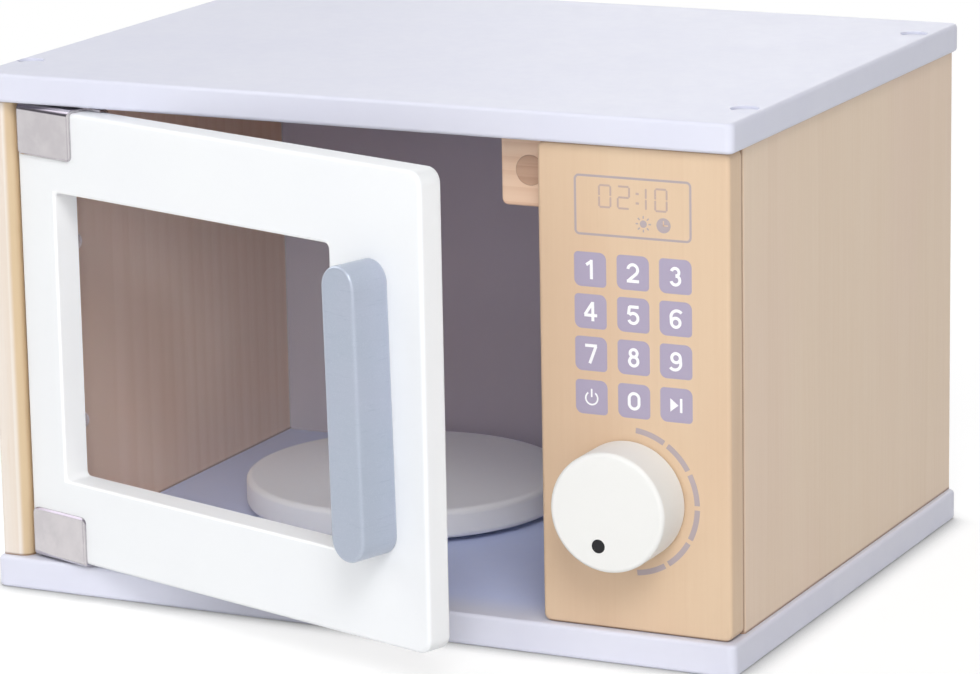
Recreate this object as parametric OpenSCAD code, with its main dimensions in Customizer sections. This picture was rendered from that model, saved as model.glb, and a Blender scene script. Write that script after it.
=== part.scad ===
// Wooden toy oven: a painted top and bottom board, natural wood sides and
// control panel, and a white framed door that hangs ajar on two pivot clips.
// The origin is the middle of the underside, the front looks along -Y.

/* [Cabinet] */
// Width of the top and bottom boards
box_w = 301.8; // [280:0.1:320]
// Depth of the top and bottom boards
box_d = 225.6; // [210:0.1:240]
// Height over everything
box_h = 197; // [185:1:210]
// Thickness of the top board
top_t = 10.8; // [10:0.1:13]
// Thickness of the bottom board
base_t = 11.8; // [10:0.1:13]
// Corner radius of the top and bottom boards, seen from above
slab_corner = 3; // [2:0.5:6]
// Radius that softens the long edges of every board
soft_edge = 1.5; // [0.5:0.25:2]
// Thickness of the two side boards
side_t = 11.5; // [10:0.5:13]
// How far the left side stands in from the end of the boards
left_inset = 0.95; // [0.5:0.05:3]
// How far the right side stands in from the end of the boards
right_inset = 2.5; // [1:0.5:5]
// How far the door and the control panel stand in from the front of the boards
front_inset = 3.3; // [1:0.1:5]
// Radius of the left side's inner front edge
left_nose = 4.5; // [2:0.5:5]
// Thickness of the back sheet
back_t = 4; // [3:0.5:5]
// How far the back sheet stands in from the rear
back_recess = 10.2; // [6:0.1:14]
// Depth of the grooves that hold the back sheet
groove = 2.5; // [1.5:0.5:4]
// Distance of the board screws from the middle, front to back
screw_reach = 83.4; // [70:0.1:95]
// Distance of the board screws from the side boards' outer faces
screw_in = 5; // [4:0.1:7]
// Diameter of the dimples over the top screws
dimple_d = 10.4; // [8:0.2:12]
// Depth from the top down to the screw caps
dimple_h = 0.9; // [0.3:0.1:1.5]

/* [Control panel] */
// Width of the control panel
panel_w = 72.6; // [68:0.1:76]
// Thickness of the control panel
panel_t = 11.7; // [10:0.1:13]
// Corner radius of the control panel
panel_corner = 3; // [2:0.5:5]
// Height of the knob's axis
knob_z = 60; // [50:0.1:70]
// Distance of the knob's axis from the panel's right edge
knob_in = 38.7; // [34:0.1:42]
// Radius of the knob
knob_r = 21.6; // [18:0.1:24]
// Thickness of the knob
knob_h = 19.1; // [14:0.1:22]
// Radius of the knob's front edge
knob_edge = 1.6; // [1:0.1:3]
// Distance of the black dot from the knob's axis
dot_reach = 12.6; // [10:0.1:16]
// Direction of the black dot, anticlockwise from the right
dot_turn = 255.5; // [180:0.5:300]
// Radius of the black dot
dot_r = 2.5; // [1.5:0.1:3]

/* [Stop block] */
// Length of the stop block
stop_w = 40; // [34:1:48]
// Height of the stop block
stop_h = 26.7; // [22:0.1:32]
// Thickness of the stop block
stop_t = 12; // [10:0.5:14]
// Radius of the block's free corners
stop_corner = 2.4; // [1.5:0.1:5]
// How far the block reaches past the control panel
stop_reach = 19.4; // [16:0.1:24]
// Radius of the wood plug over the magnet
plug_r = 5.5; // [5:0.1:8]
// How far the magnet stands in from the block's free end
plug_in = 11.3; // [9:0.1:14]

/* [Door] */
// Width of the door
door_w = 207; // [200:0.5:210]
// Thickness of the door
door_t = 11; // [9:0.1:12]
// Gap between the door and the boards above and below it
door_gap_z = 1.7; // [1.3:0.1:3]
// Gap between the door and the left side
door_gap_x = 1.75; // [1.7:0.05:3]
// Corner radius of the door
door_corner = 5.5; // [3:0.5:9]
// How far the door stands open at rest
door_ajar = 17.3; // [0:0.1:60]
// Distance of the hinge axis from the door's left edge
pivot_in = 8; // [6:0.5:10]
// Distance of the hinge axis from the door's front face
pivot_back = 4.8; // [4:0.1:5.4]
// Width of the window
window_w = 142.7; // [120:0.1:145]
// Height of the window
window_h = 109.6; // [90:0.1:115]
// Distance of the window from the door's left edge
window_x = 19.5; // [17:0.1:24]
// Height of the window's lower edge over the floor
window_z = 44.2; // [38:0.1:50]
// Corner radius of the window
window_corner = 2.2; // [1.5:0.1:8]
// Radius of the window's front edge
window_edge = 1.1; // [0.5:0.1:1.4]
// Thickness of the clear pane
pane_t = 2; // [1.5:0.5:3]
// How far the pane reaches past the window
pane_lap = 9; // [8:0.5:12]
// Distance of the pane screws from the window's edge
pane_screw_in = 4.7; // [4:0.1:6]

/* [Handle] */
// Width of the handle
handle_w = 15.6; // [12:0.1:20]
// Length of the handle
handle_l = 104.7; // [90:0.1:115]
// How far the handle stands off the door
handle_h = 16.9; // [14:0.1:22]
// Radius of the handle's front edge
handle_edge = 1.2; // [1:0.1:4]
// Distance of the handle's middle from the door's left edge
handle_x = 183.8; // [176:0.1:190]
// How far the handle leans to the left at its top
handle_lean = 1.3; // [0:0.1:3]

/* [Hinge clips] */
// Width of the front plate
clip_w = 28.2; // [22:0.1:30]
// Length of the back plate
clip_back_w = 36; // [30:1:40]
// Height of the plates
clip_h = 19.2; // [15:0.1:22]
// Thickness of the front and back plates
clip_t = 1.2; // [1:0.1:1.3]
// Thickness of the plate that lies over the door's edge
clip_bridge = 1.1; // [0.8:0.1:1.1]
// Radius of the hinge pins
pin_r = 2; // [1.5:0.1:2.5]

/* [Turntable] */
// Radius of the plate
plate_r = 62.6; // [50:0.2:66]
// Thickness of the plate
plate_t = 11.3; // [6:0.1:14]
// Gap between the plate and the floor
plate_gap = 2; // [1.5:0.1:4]
// Place of the plate's axis, left to right
plate_x = -40.7; // [-60:0.1:-20]
// Place of the plate's axis, front to back
plate_y = 12.9; // [0:0.1:25]

/* [Hidden] */

// Colours
lavender = [0.88, 0.88, 0.95];
birch = [0.91, 0.79, 0.63];
tan_wood = [0.80, 0.70, 0.58];
plug_wood = [0.76, 0.60, 0.48];
white_paint = [0.95, 0.95, 0.96];
blue_grey = [0.70, 0.74, 0.80];
black_paint = [0.10, 0.10, 0.11];
clear_sheet = [0.85, 0.92, 0.95, 0.35];
steel = [0.72, 0.72, 0.75];
magnet_grey = [0.35, 0.35, 0.38];
nylon = [0.90, 0.90, 0.88];

// Steps round small and large circles
plain = 48;
fine = 96;

// Loose fit of a piece in its hole, and running fit of a turning one
snug = 0.02;
run = 0.05;
// Air round a piece that something else holds, and at the end of a blind hole
air = 0.1;
spare = 0.3;
// How far one cutting shape runs past the face it opens
past = 1;
// Slight rounding of small turned and cut pieces
small_edge = 0.4;
tiny_edge = 0.2;

// Faces of the cabinet
front_y = -box_d / 2;
rear_y = box_d / 2;
face_y = front_y + front_inset;
floor_z = base_t;
roof_z = box_h - top_t;
room_h = roof_z - floor_z;
left_out = -box_w / 2 + left_inset;
left_in = left_out + side_t;
right_out = box_w / 2 - right_inset;
right_in = right_out - side_t;
back_y = rear_y - back_recess - back_t;
panel_x = right_out - panel_w;
panel_back = face_y + panel_t;

// Board screws; the caps lie on the heads in the top board
screw_left_x = left_out + screw_in;
screw_right_x = right_out - screw_in;
cap_h = 2;
cap_edge = 0.6;
screw_r = 2;
screw_head_r = 4;
screw_head_h = 2.4;
screw_grip = 36;
screw_tip = 4;
top_head_z = box_h - dimple_h - cap_h - air;
bottom_head_z = 0.4;

// Dowels: two up, two down and three into the edge of the right side
dowel_r = 3;
dowel_end = 8;
dowel_in = 14;
dowel_x = [panel_x + 14, panel_x + 50];
side_dowel_x = right_out - side_t / 2;
side_dowel_z = [floor_z + 41, floor_z + room_h / 2, roof_z - 41];
side_dowel_in = 7;
side_dowel_end = 16;

// Door, drawn shut and then turned to where it rests
door_x = left_in + door_gap_x;
door_z = floor_z + door_gap_z;
door_h = room_h - 2 * door_gap_z;
door_top = door_z + door_h;
door_back = face_y + door_t;
pivot_x = door_x + pivot_in;
pivot_y = face_y + pivot_back;
window_mid_x = door_x + window_x + window_w / 2;
window_mid_z = window_z + window_h / 2;

// Handle and its two screws from behind
handle_mid_x = door_x + handle_x;
handle_mid_z = window_mid_z + 0.2;
handle_screw_reach = 34;
handle_screw_r = 1.8;
handle_head_r = 3.6;
handle_head_h = 2.2;
handle_grip = 13;
handle_tip = 3;

// Pane screws: two on every side of the window
pane_corner = 3;
pane_edge = 0.25;
pane_screw_reach_z = 34.2;
pane_screw_reach_x = 48.2;
pane_head_r = 3.4;
pane_head_h = 2.3;
pane_shank_r = 1.4;
pane_shank_l = 7.5;
// Radius of the dome that gives the head its height and width
dome_r = (pane_head_r * pane_head_r + pane_head_h * pane_head_h) / (2 * pane_head_h);

// Hinge clips, pins and bushes
clip_inset = 1.8;
clip_corner = 2.5;
clip_bevel = 0.7;
clip_fold = 1.2;
clip_tab = 3;
clip_x = door_x + clip_inset;
clip_top = door_top + clip_bridge;
clip_foot = clip_top - clip_h;
clip_screw_r = 1.4;
clip_screw_l = 6;
clip_head_r = 2.6;
clip_head_h = 1.3;
clip_screw_x = [16, 29];
clip_screw_in = 8.5;
bush_l = 8.5;
bush_r = 3.5;
pin_head_r = 3.5;
pin_head_h = 1.5;
pin_l = 7.2;
pin_root = 0.5;

// Catch: the magnet in the stop block and the plate in the door
stop_edge = 1;
magnet_r = 4.6;
magnet_t = 4;
plug_t = 1.8;
plug_proud = 0.3;
magnet_x = panel_x - stop_reach + plug_in;
magnet_z = roof_z - 13.6;
catch_x = magnet_x - 4.2;
catch_r = 4.8;
catch_t = 1.4;
catch_rise = 0.05;
catch_screw_r = 1.2;
catch_head_r = 2.2;
catch_head_h = 1;
catch_screw_l = 7;
catch_tip = 2;

// Knob, its screw and washers
knob_x = right_out - knob_in;
knob_gap = 0.6;
knob_base = face_y - knob_gap;
knob_rear_edge = 0.8;
knob_shank_r = 2.4;
knob_bore_l = 13;
knob_head_r = 4.2;
knob_head_h = 2.5;
knob_head_edge = 1.2;
knob_bush_r = 4;
front_washer_r = 9;
front_washer_t = 0.5;
back_washer_r = 6;
back_washer_t = 1;
dot_t = 0.65;
dot_sunk = 0.6;

// Turntable and its pin
table_pin_r = 3;
table_pin_sunk = 6;
table_pin_up = 10;
table_pin_edge = 0.8;
table_washer_r = 9;
plate_low_edge = 2;
plate_high_edge = 2.2;

// Rounded rectangle about the origin
module soft_rect(w, h, r) {
    square([w - 2 * r, h], center = true);
    square([w, h - 2 * r], center = true);
    for (x = [-1, 1], y = [-1, 1])
        translate([x * (w / 2 - r), y * (h / 2 - r)]) circle(r = r, $fn = plain);
}

// Round disc standing on the plane, with its lower and upper edges rounded
module soft_disc(r, h, low, high) {
    rotate_extrude($fn = fine) {
        translate([0, low]) square([r, h - low - high]);
        square([r - low, h / 2]);
        translate([0, h / 2]) square([r - high, h / 2]);
        translate([r - low, low]) circle(r = low, $fn = plain);
        translate([r - high, h - high]) circle(r = high, $fn = plain);
    }
}

// Flat board about the origin in plan, on the plane, with round corners and every edge rounded
module soft_board(w, d, t, corner, edge) {
    for (x = [-1, 1], y = [-1, 1])
        translate([x * (w / 2 - corner), y * (d / 2 - corner), 0]) soft_disc(corner, t, edge, edge);
    translate([0, 0, t / 2]) rotate([90, 0, 90]) translate([0, 0, corner - w / 2])
        linear_extrude(w - 2 * corner) soft_rect(d, t, edge);
    translate([0, 0, t / 2]) rotate([90, 0, 0]) translate([0, 0, corner - d / 2])
        linear_extrude(d - 2 * corner) soft_rect(w, t, edge);
}

// The same board standing up: its middle in X and Z, its front face on y
module standing_board(x, y, z, w, h, t, corner, edge) {
    translate([x, y + t, z]) rotate([90, 0, 0]) soft_board(w, h, t, corner, edge);
}

// Straight hole or pin along an axis, from a point
module along_z(x, y, z, r, l) {
    translate([x, y, z]) cylinder(r = r, h = l, $fn = plain);
}
module along_y(x, y, z, r, l) {
    translate([x, y, z]) rotate([-90, 0, 0]) cylinder(r = r, h = l, $fn = plain);
}

// Places of the four screws in a board
module at_board_screws() {
    for (x = [screw_left_x, screw_right_x], y = [-1, 1]) translate([x, y * screw_reach, 0]) children();
}

// Countersunk screw with its head's top on the plane, pointing down
module sunk_screw(head_r, head_h, r, l, tip) {
    translate([0, 0, -head_h]) cylinder(r1 = r, r2 = head_r, h = head_h, $fn = plain);
    translate([0, 0, tip - l]) cylinder(r = r, h = l - head_h - tip, $fn = plain);
    translate([0, 0, -l]) cylinder(r1 = r / 4, r2 = r, h = tip, $fn = plain);
}

// Hole that the same screw fits
module sunk_hole(head_r, head_h, r, l) {
    translate([0, 0, -head_h]) cylinder(r1 = r + snug, r2 = head_r + snug, h = head_h, $fn = plain);
    translate([0, 0, -l]) cylinder(r = r + snug, h = l, $fn = plain);
}

// Groove of the back sheet in the top and bottom boards
module slab_groove(z) {
    translate([left_in - groove, back_y - air, z])
        cube([right_in - left_in + 2 * groove, back_t + 2 * air, groove + past]);
}

module top_panel() {
    color(lavender) difference() {
        translate([0, 0, roof_z]) soft_board(box_w, box_d, top_t, slab_corner, soft_edge);
        at_board_screws() {
            along_z(0, 0, top_head_z, dimple_d / 2, top_t);
            translate([0, 0, top_head_z]) sunk_hole(screw_head_r, screw_head_h, screw_r, top_t);
        }
        slab_groove(roof_z - past);
        dowel_places() along_z(0, 0, roof_z - past, dowel_r + snug, dowel_end + past + spare);
        along_z(pivot_x, pivot_y, roof_z - past, bush_r + snug, bush_l + past);
    }
}

module bottom_panel() {
    color(lavender) difference() {
        soft_board(box_w, box_d, base_t, slab_corner, soft_edge);
        at_board_screws() mirror([0, 0, 1]) {
            translate([0, 0, -bottom_head_z]) cylinder(r = screw_head_r + snug, h = past, $fn = plain);
            translate([0, 0, -bottom_head_z]) sunk_hole(screw_head_r, screw_head_h, screw_r, base_t);
        }
        slab_groove(floor_z - groove);
        dowel_places() along_z(0, 0, floor_z - dowel_end - spare, dowel_r + snug, dowel_end + spare + past);
        along_z(pivot_x, pivot_y, floor_z - bush_l, bush_r + snug, bush_l + past);
        along_z(plate_x, plate_y, floor_z - table_pin_sunk, table_pin_r + snug, table_pin_sunk + past);
    }
}

// Plan of a side board: its rear corners and outer front corner soft, its inner front corner as given
module side_plan(t, d, nose) {
    difference() {
        square([t, d]);
        for (y = [0, d - soft_edge]) translate([0, y]) square(soft_edge);
        translate([t - soft_edge, d - soft_edge]) square(soft_edge);
        translate([t - nose, 0]) square(nose);
    }
    translate([t - nose, nose]) circle(r = nose, $fn = plain);
    for (y = [soft_edge, d - soft_edge]) translate([soft_edge, y]) circle(r = soft_edge, $fn = plain);
    translate([t - soft_edge, d - soft_edge]) circle(r = soft_edge, $fn = plain);
}

// Screw holes in both ends of a side board, and the groove of the back sheet
module side_holes(x, groove_x) {
    for (y = [-1, 1]) {
        along_z(x, y * screw_reach, top_head_z - screw_grip - spare, screw_r + snug, screw_grip);
        along_z(x, y * screw_reach, floor_z - past, screw_r + snug,
            screw_grip - base_t + bottom_head_z + past + spare);
    }
    translate([groove_x, back_y - air, floor_z - past])
        cube([groove + past, back_t + 2 * air, room_h + 2 * past]);
}

module left_side() {
    color(birch) difference() {
        translate([left_out, face_y, floor_z]) linear_extrude(room_h)
            side_plan(side_t, rear_y - face_y, left_nose);
        side_holes(screw_left_x, left_in - groove);
    }
}

module right_side() {
    color(tan_wood) difference() {
        translate([right_out, panel_back, floor_z]) mirror([1, 0, 0]) linear_extrude(room_h)
            side_plan(side_t, rear_y - panel_back, soft_edge);
        side_holes(screw_right_x, right_in - past);
        for (z = side_dowel_z)
            along_y(side_dowel_x, panel_back - past, z, dowel_r + snug, side_dowel_end + past + spare);
    }
}

module back_panel() {
    color(white_paint)
        translate([left_in - groove + air, back_y, floor_z - groove + air])
            cube([right_in - left_in + 2 * (groove - air), back_t, room_h + 2 * (groove - air)]);
}

// Places of the upright dowels
module dowel_places() {
    for (x = dowel_x) translate([x, (face_y + panel_back) / 2, 0]) children();
}

module panel_dowels() {
    color(birch) {
        dowel_places() {
            along_z(0, 0, roof_z - dowel_in, dowel_r, dowel_in + dowel_end);
            along_z(0, 0, floor_z - dowel_end, dowel_r, dowel_in + dowel_end);
        }
        for (z = side_dowel_z)
            along_y(side_dowel_x, panel_back - side_dowel_in, z, dowel_r, side_dowel_in + side_dowel_end);
    }
}

module control_panel() {
    color(birch) difference() {
        standing_board(panel_x + panel_w / 2, face_y, floor_z + room_h / 2,
            panel_w, room_h, panel_t, panel_corner, soft_edge);
        dowel_places() {
            along_z(0, 0, roof_z - dowel_in - spare, dowel_r + snug, dowel_in + spare + past);
            along_z(0, 0, floor_z - past, dowel_r + snug, dowel_in + past + spare);
        }
        for (z = side_dowel_z)
            along_y(side_dowel_x, panel_back - side_dowel_in - spare, z, dowel_r + snug,
                side_dowel_in + spare + past);
        along_y(knob_x, face_y - past, knob_z, knob_bush_r + snug, panel_t + 2 * past);
    }
}

module stop_block() {
    color(birch) difference() {
        standing_board(panel_x - stop_reach + stop_w / 2, panel_back, roof_z - stop_h / 2,
            stop_w, stop_h, stop_t, stop_corner, stop_edge);
        along_y(magnet_x, panel_back - past, magnet_z, plug_r + snug, past + plug_t - plug_proud);
        along_y(magnet_x, panel_back, magnet_z, magnet_r + snug, plug_t - plug_proud + magnet_t + air);
    }
}

module catch_magnet() {
    color(magnet_grey)
        along_y(magnet_x, panel_back + plug_t - plug_proud, magnet_z, magnet_r, magnet_t);
}

module magnet_plug() {
    color(plug_wood)
        translate([magnet_x, panel_back - plug_proud + plug_t, magnet_z]) rotate([90, 0, 0])
            soft_disc(plug_r, plug_t, tiny_edge, small_edge);
}

module top_screws() {
    color(steel) at_board_screws()
        translate([0, 0, top_head_z]) sunk_screw(screw_head_r, screw_head_h, screw_r, screw_grip, screw_tip);
}

module top_caps() {
    color(lavender) at_board_screws()
        translate([0, 0, box_h - dimple_h - cap_h])
            soft_disc(dimple_d / 2 - air, cap_h, tiny_edge, cap_edge);
}

module bottom_screws() {
    color(steel) at_board_screws()
        translate([0, 0, bottom_head_z]) mirror([0, 0, 1])
            sunk_screw(screw_head_r, screw_head_h, screw_r, screw_grip, screw_tip);
}

module tube(r, hole, l) {
    difference() {
        cylinder(r = r, h = l, $fn = plain);
        translate([0, 0, -past]) cylinder(r = hole, h = l + 2 * past, $fn = plain);
    }
}

module hinge_bushes() {
    color(nylon) for (z = [floor_z - bush_l, roof_z])
        translate([pivot_x, pivot_y, z]) tube(bush_r, pin_r + run, bush_l);
}

module knob_bush() {
    color(nylon) translate([knob_x, face_y, knob_z]) rotate([-90, 0, 0])
        tube(knob_bush_r, knob_shank_r + run, panel_t);
}

module turntable_pin() {
    color(steel) translate([plate_x, plate_y, floor_z - table_pin_sunk])
        soft_disc(table_pin_r, table_pin_sunk + table_pin_up, tiny_edge, table_pin_edge);
}

module turntable_washer() {
    color(nylon) translate([plate_x, plate_y, floor_z])
        tube(table_washer_r, table_pin_r + run, plate_gap - air);
}

// Turns what is drawn shut to where the door rests
module ajar() {
    translate([pivot_x, pivot_y, 0]) rotate([0, 0, -door_ajar])
        translate([-pivot_x, -pivot_y, 0]) children();
}

// Hole through a board of thickness t from the front face y = 0, its front edge rounded outwards
module soft_opening(w, h, t, corner, edge) {
    translate([0, t + past, 0]) rotate([90, 0, 0]) linear_extrude(t + 2 * past) soft_rect(w, h, corner);
    for (x = [-1, 1], z = [-1, 1]) translate([x * (w / 2 - corner), 0, z * (h / 2 - corner)])
        rotate([-90, 0, 0]) rotate_extrude($fn = fine) difference() {
            translate([0, -past]) square([corner + edge, edge + past]);
            translate([corner + edge, edge]) circle(r = edge, $fn = plain);
        }
    translate([corner - w / 2, 0, 0]) rotate([90, 0, 90]) linear_extrude(w - 2 * corner) flare(h, edge);
    translate([0, 0, h / 2 - corner]) mirror([0, 0, 1]) linear_extrude(h - 2 * corner)
        rotate(90) mirror([0, 1]) flare(w, edge);
}

// Section of the flared mouth: wide at the front face, the opening's own width behind the rounding
module flare(w, edge) {
    difference() {
        translate([-past, -w / 2 - edge]) square([edge + past, w + 2 * edge]);
        for (s = [-1, 1]) translate([edge, s * (w / 2 + edge)]) circle(r = edge, $fn = plain);
    }
}

// Places of the pane screws, each on the back face of the door
module at_pane_screws() {
    for (s = [-1, 1], k = [-1, 1]) {
        translate([window_mid_x + s * (window_w / 2 + pane_screw_in), door_back,
            window_mid_z + k * pane_screw_reach_z]) children();
        translate([window_mid_x + k * pane_screw_reach_x, door_back,
            window_mid_z + s * (window_h / 2 + pane_screw_in)]) children();
    }
}

// Places of the handle's screws, each on the back face of the door
module at_handle_screws() {
    translate([handle_mid_x, door_back, handle_mid_z]) rotate([0, -handle_lean, 0])
        for (s = [-1, 1]) translate([0, 0, s * handle_screw_reach]) rotate([-90, 0, 0]) children();
}

module door_frame() {
    color(white_paint) ajar() difference() {
        standing_board(door_x + door_w / 2, face_y, door_z + door_h / 2,
            door_w, door_h, door_t, door_corner, soft_edge);
        translate([window_mid_x, face_y, window_mid_z])
            soft_opening(window_w, window_h, door_t, window_corner, window_edge);
        at_pane_screws() along_y(0, -pane_shank_l + pane_t, 0, pane_shank_r + snug, pane_shank_l);
        at_handle_screws() sunk_hole(handle_head_r, handle_head_h, handle_screw_r, door_t + past);
        at_clip_screws()
            along_y(0, -clip_screw_l - spare, 0, clip_screw_r + snug, clip_screw_l + spare + past);
        for (z = [door_z - past, door_top - pin_head_h - air])
            along_z(pivot_x, pivot_y, z, pin_head_r + air, pin_head_h + air + past);
        along_y(catch_x, door_back - catch_t - catch_rise, magnet_z, catch_r + snug, catch_t + past);
        along_y(catch_x, door_back - catch_screw_l - spare, magnet_z, catch_screw_r + snug, catch_screw_l);
    }
}

module door_window() {
    color(clear_sheet) ajar() difference() {
        standing_board(window_mid_x, door_back, window_mid_z,
            window_w + 2 * pane_lap, window_h + 2 * pane_lap, pane_t, pane_corner, pane_edge);
        at_pane_screws() along_y(0, -past, 0, pane_shank_r + air, pane_t + 2 * past);
    }
}

// Round head screw on the pane, pointing into the door
module window_screws() {
    color(steel) ajar() at_pane_screws() {
        translate([0, pane_t, 0]) rotate([-90, 0, 0]) rotate_extrude($fn = plain) intersection() {
            translate([0, pane_head_h - dome_r]) circle(r = dome_r, $fn = fine);
            square([pane_head_r, pane_head_h]);
        }
        along_y(0, pane_t - pane_shank_l, 0, pane_shank_r, pane_shank_l);
    }
}

// Section of a clip's bent sheet: two plates joined over the door's rounded edge
module clip_section() {
    inside = clip_fold + clip_bridge;
    difference() {
        union() {
            translate([face_y - clip_t, clip_foot]) square([door_t + 2 * clip_t, clip_h - inside]);
            translate([face_y - clip_t + inside, clip_foot])
                square([door_t + 2 * (clip_t - inside), clip_h]);
            for (y = [face_y - clip_t + inside, door_back + clip_t - inside])
                translate([y, clip_top - inside]) circle(r = inside, $fn = fine);
        }
        translate([face_y, clip_foot - past]) square([door_t, clip_h - clip_bridge - clip_fold + past]);
        translate([face_y + clip_fold, clip_foot]) square([door_t - 2 * clip_fold, clip_h - clip_bridge]);
        for (y = [face_y + clip_fold, door_back - clip_fold])
            translate([y, door_top - clip_fold]) circle(r = clip_fold, $fn = fine);
    }
}

// Cuts a free lower corner of a plate round: its edge on x, running to the right or to the left
module clip_corner_cut(x, y, to) {
    translate([x, y, clip_foot]) difference() {
        translate([to > 0 ? -clip_corner : -past, -past, -past])
            cube([clip_corner + past, clip_t + 2 * past, clip_corner + past]);
        translate([-to * clip_corner, -2 * past, clip_corner]) rotate([-90, 0, 0])
            cylinder(r = clip_corner, h = clip_t + 4 * past, $fn = plain);
    }
}

// Slanting cut along an edge, from its middle: standing, or lying when turned by 90 degrees
module clip_bevel_cut(x, z, l, turn) {
    side = clip_bevel * sqrt(2);
    translate([x, face_y - clip_t, z]) rotate([0, turn, 0]) rotate([0, 0, 45])
        cube([side, side, l], center = true);
}

// Upper hinge clip: front plate, bridge over the door's edge, and a longer back plate with two screws
module hinge_clip() {
    difference() {
        translate([clip_x, 0, 0]) rotate([90, 0, 90]) linear_extrude(clip_back_w) clip_section();
        translate([clip_x + clip_w, face_y - clip_t - past, clip_foot - past])
            cube([clip_back_w, door_t + clip_t + past - clip_tab, clip_h + 2 * past]);
        clip_corner_cut(clip_x, face_y - clip_t, -1);
        clip_corner_cut(clip_x + clip_w, face_y - clip_t, 1);
        clip_corner_cut(clip_x, door_back, -1);
        clip_corner_cut(clip_x + clip_back_w, door_back, 1);
        clip_bevel_cut(clip_x + clip_w, clip_foot + clip_h / 2, clip_h, 0);
        clip_bevel_cut(clip_x + clip_w / 2, clip_foot, clip_w, 90);
        along_z(pivot_x, pivot_y, door_z, pin_r + snug, door_h + 2 * clip_bridge);
        at_clip_screws() along_y(0, -past, 0, clip_screw_r + air, clip_t + 2 * past);
    }
}

module at_clip_screws() {
    for (z = [door_z + clip_screw_in, door_top - clip_screw_in], x = clip_screw_x)
        translate([clip_x + x, door_back, z]) children();
}

module hinge_clip_top() {
    color(steel) ajar() hinge_clip();
}

module hinge_clip_bottom() {
    color(steel) ajar() translate([0, 0, floor_z + roof_z]) mirror([0, 0, 1]) hinge_clip();
}

// Headed pins: the head lies in the door's edge, the shank stands in the board's bush
module hinge_pins() {
    color(steel) ajar() for (up = [0, 1])
        translate([0, 0, up * (floor_z + roof_z)]) mirror([0, 0, up]) {
            along_z(pivot_x, pivot_y, door_z, pin_head_r, pin_head_h);
            translate([pivot_x, pivot_y, floor_z - pin_l])
                soft_disc(pin_r, pin_l + door_gap_z + pin_root, small_edge, tiny_edge);
        }
}

module clip_screws() {
    color(steel) ajar() at_clip_screws() {
        translate([0, clip_t, 0]) rotate([-90, 0, 0])
            soft_disc(clip_head_r, clip_head_h, tiny_edge, small_edge);
        along_y(0, -clip_screw_l, 0, clip_screw_r, clip_screw_l + clip_head_h);
    }
}

// Stadium bar with a slightly rounded front edge, flat on the door and leaning a little
module door_handle() {
    r = handle_w / 2;
    color(blue_grey) ajar() difference() {
        translate([handle_mid_x, face_y, handle_mid_z]) rotate([0, -handle_lean, 0]) rotate([90, 0, 0]) {
            for (s = [-1, 1]) translate([0, s * (handle_l / 2 - r), 0])
                soft_disc(r, handle_h, small_edge, handle_edge);
            translate([0, handle_l / 2 - r, 0]) rotate([90, 0, 0]) linear_extrude(handle_l - 2 * r)
                handle_section(r);
        }
        at_handle_screws() translate([0, 0, -door_t - handle_grip - spare])
            cylinder(r = handle_screw_r + snug, h = handle_grip + spare + past, $fn = plain);
    }
}

// Section of the bar, the same as the profile of its round ends
module handle_section(r) {
    translate([-r, small_edge]) square([2 * r, handle_h - small_edge - handle_edge]);
    translate([small_edge - r, 0]) square([2 * (r - small_edge), handle_h / 2]);
    translate([handle_edge - r, handle_h / 2]) square([2 * (r - handle_edge), handle_h / 2]);
    for (s = [-1, 1]) {
        translate([s * (r - small_edge), small_edge]) circle(r = small_edge, $fn = plain);
        translate([s * (r - handle_edge), handle_h - handle_edge]) circle(r = handle_edge, $fn = plain);
    }
}

module handle_screws() {
    color(steel) ajar() at_handle_screws()
        sunk_screw(handle_head_r, handle_head_h, handle_screw_r, door_t + handle_grip, handle_tip);
}

// Middle of the catch plate's face, looking out of the door's back
module at_catch() {
    translate([catch_x, door_back - catch_rise, magnet_z]) rotate([-90, 0, 0]) children();
}

module catch_plate() {
    color(steel) ajar() difference() {
        at_catch() translate([0, 0, -catch_t]) cylinder(r = catch_r, h = catch_t, $fn = plain);
        at_catch() sunk_hole(catch_head_r, catch_head_h, catch_screw_r, catch_t + past);
    }
}

module catch_screw() {
    color(steel) ajar() at_catch()
        sunk_screw(catch_head_r, catch_head_h, catch_screw_r, catch_screw_l, catch_tip);
}

module knob() {
    color(white_paint) difference() {
        translate([knob_x, knob_base, knob_z]) rotate([90, 0, 0])
            soft_disc(knob_r, knob_h, knob_rear_edge, knob_edge);
        along_y(knob_x, knob_base - knob_bore_l, knob_z, knob_shank_r + snug, knob_bore_l + past);
        at_knob_dot() rotate([-90, 0, 0]) cylinder(r = dot_r + snug, h = dot_sunk + past, $fn = plain);
    }
}

// Centre of the dot, one step in front of the bottom of its seat
module at_knob_dot() {
    translate([knob_x + dot_reach * cos(dot_turn), knob_base - knob_h - past,
        knob_z + dot_reach * sin(dot_turn)]) children();
}

module knob_dot() {
    color(black_paint) at_knob_dot() rotate([-90, 0, 0]) translate([0, 0, past + dot_sunk - dot_t])
        soft_disc(dot_r, dot_t, tiny_edge, tiny_edge / 2);
}

module knob_screw() {
    head_y = panel_back + air + back_washer_t;
    tip_y = knob_base - knob_bore_l + past;
    color(steel) {
        along_y(knob_x, tip_y, knob_z, knob_shank_r, head_y - tip_y);
        translate([knob_x, head_y, knob_z]) rotate([-90, 0, 0])
            soft_disc(knob_head_r, knob_head_h, tiny_edge, knob_head_edge);
    }
}

module knob_washer_front() {
    color(nylon) translate([knob_x, knob_base, knob_z]) rotate([-90, 0, 0])
        tube(front_washer_r, knob_shank_r + snug, front_washer_t);
}

module knob_washer_back() {
    color(steel) translate([knob_x, panel_back + air, knob_z]) rotate([-90, 0, 0])
        tube(back_washer_r, knob_shank_r + snug, back_washer_t);
}

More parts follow.
